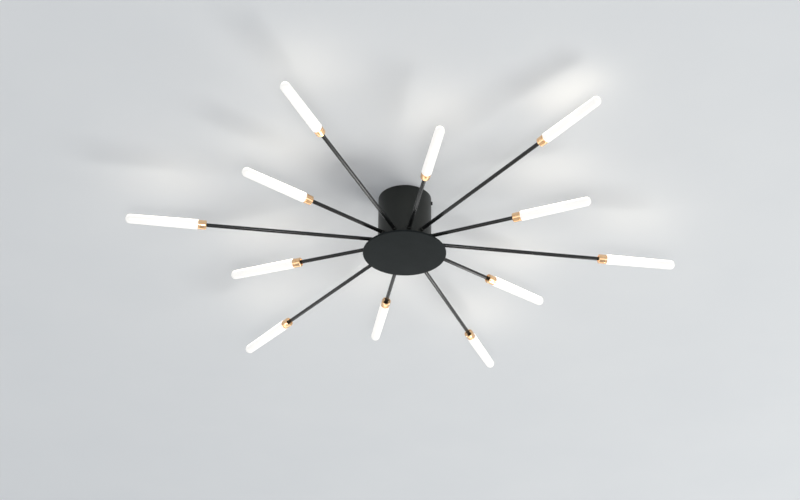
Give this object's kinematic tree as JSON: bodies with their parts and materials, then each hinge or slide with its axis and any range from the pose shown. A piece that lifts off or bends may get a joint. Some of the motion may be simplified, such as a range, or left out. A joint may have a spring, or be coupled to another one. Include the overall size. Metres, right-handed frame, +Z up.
{
  "type": "ceiling light",
  "caption": "Flush ceiling light: black cup canopy closed by a wide disc, with radiating long and short rods that end in gold rings and round-tipped opal light tubes.",
  "frame": {"origin": "on the ceiling plane, midway between the bracket's two slotted holes, on the lamp's axis", "axes": "+Z up into the ceiling; X through the bracket's slots and the canopy's two side screws"},
  "size_m": [0.7753, 0.7709, 0.0938],
  "materials": {
    "black_paint": "satin powder coat",
    "rod_paint": "semi-gloss",
    "black_steel": "black oxide",
    "gold": "polished plate",
    "opal_acrylic": "opal, lit",
    "zinc_steel": "zinc plated",
    "brass_plate": "satin",
    "driver_plastic": "moulded",
    "block_plastic": "moulded",
    "foam": "foam tape",
    "lead_sheath": "soft sheath",
    "arm_lead_sheath": "soft sheath",
    "splice_plastic": "moulded",
    "plug_plastic": "moulded",
    "light_board": "white solder mask"
  },
  "bodies": {
    "bracket": {"ceiling_bracket": "zinc_steel", "earth_screw": "brass_plate", "earth_washer": "brass_plate"},
    "lamp": {"arm_01_ring": "gold", "arm_01_rod": "rod_paint", "arm_02_ring": "gold", "arm_02_rod": "rod_paint", "arm_03_ring": "gold", "arm_03_rod": "rod_paint", "arm_04_ring": "gold", "arm_04_rod": "rod_paint", "arm_05_ring": "gold", "arm_05_rod": "rod_paint", "arm_06_ring": "gold", "arm_06_rod": "rod_paint", "arm_07_ring": "gold", "arm_07_rod": "rod_paint", "arm_08_ring": "gold", "arm_08_rod": "rod_paint", "arm_09_ring": "gold", "arm_09_rod": "rod_paint", "arm_10_ring": "gold", "arm_10_rod": "rod_paint", "arm_11_ring": "gold", "arm_11_rod": "rod_paint", "arm_12_ring": "gold", "arm_12_rod": "rod_paint", "arm_collars": "black_paint", "arm_leads": "arm_lead_sheath", "arm_nuts": "zinc_steel", "bottom_disc": "black_paint", "canopy": "black_paint", "canopy_screws": "black_steel", "canopy_weld_nuts": "zinc_steel", "disc_nuts": "zinc_steel", "disc_studs": "zinc_steel", "driver_pad": "foam", "input_lead": "lead_sheath", "lead_splice": "splice_plastic", "led_driver": "driver_plastic", "light_sticks": "light_board", "output_lead": "lead_sheath", "stick_plugs": "plug_plastic", "terminal_block": "block_plastic"},
    "shade_01": {"arm_01_shade": "opal_acrylic"},
    "shade_02": {"arm_02_shade": "opal_acrylic"},
    "shade_03": {"arm_03_shade": "opal_acrylic"},
    "shade_04": {"arm_04_shade": "opal_acrylic"},
    "shade_05": {"arm_05_shade": "opal_acrylic"},
    "shade_06": {"arm_06_shade": "opal_acrylic"},
    "shade_07": {"arm_07_shade": "opal_acrylic"},
    "shade_08": {"arm_08_shade": "opal_acrylic"},
    "shade_09": {"arm_09_shade": "opal_acrylic"},
    "shade_10": {"arm_10_shade": "opal_acrylic"},
    "shade_11": {"arm_11_shade": "opal_acrylic"},
    "shade_12": {"arm_12_shade": "opal_acrylic"}
  },
  "joints": [
    {"name": "canopy_drop", "type": "slide", "parent": "bracket", "child": "lamp", "axis": [0, 0, -1], "range_m": [0, 0.03]},
    {"name": "shade_01_pull", "type": "slide", "parent": "lamp", "child": "shade_01", "axis": [0.9707, 0.2402, -0.0087], "range_m": [0, 0.112]},
    {"name": "shade_02_pull", "type": "slide", "parent": "lamp", "child": "shade_02", "axis": [0.6817, 0.731, 0.0314], "range_m": [0, 0.112]},
    {"name": "shade_03_pull", "type": "slide", "parent": "lamp", "child": "shade_03", "axis": [0.2504, 0.9681, 0.007], "range_m": [0, 0.112]},
    {"name": "shade_04_pull", "type": "slide", "parent": "lamp", "child": "shade_04", "axis": [-0.2706, 0.9626, -0.0157], "range_m": [0, 0.112]},
    {"name": "shade_05_pull", "type": "slide", "parent": "lamp", "child": "shade_05", "axis": [-0.7033, 0.7107, -0.0175], "range_m": [0, 0.112]},
    {"name": "shade_06_pull", "type": "slide", "parent": "lamp", "child": "shade_06", "axis": [-0.9611, 0.2756, 0.0209], "range_m": [0, 0.112]},
    {"name": "shade_07_pull", "type": "slide", "parent": "lamp", "child": "shade_07", "axis": [-0.9664, -0.2571, -0.0052], "range_m": [0, 0.112]},
    {"name": "shade_08_pull", "type": "slide", "parent": "lamp", "child": "shade_08", "axis": [-0.724, -0.6895, 0.0209], "range_m": [0, 0.112]},
    {"name": "shade_09_pull", "type": "slide", "parent": "lamp", "child": "shade_09", "axis": [-0.2874, -0.9578, 0.0052], "range_m": [0, 0.112]},
    {"name": "shade_10_pull", "type": "slide", "parent": "lamp", "child": "shade_10", "axis": [0.2739, -0.9617, 0.0087], "range_m": [0, 0.112]},
    {"name": "shade_11_pull", "type": "slide", "parent": "lamp", "child": "shade_11", "axis": [0.7152, -0.6955, 0.0698], "range_m": [0, 0.112]},
    {"name": "shade_12_pull", "type": "slide", "parent": "lamp", "child": "shade_12", "axis": [0.9665, -0.2554, 0.0244], "range_m": [0, 0.112]}
  ]
}
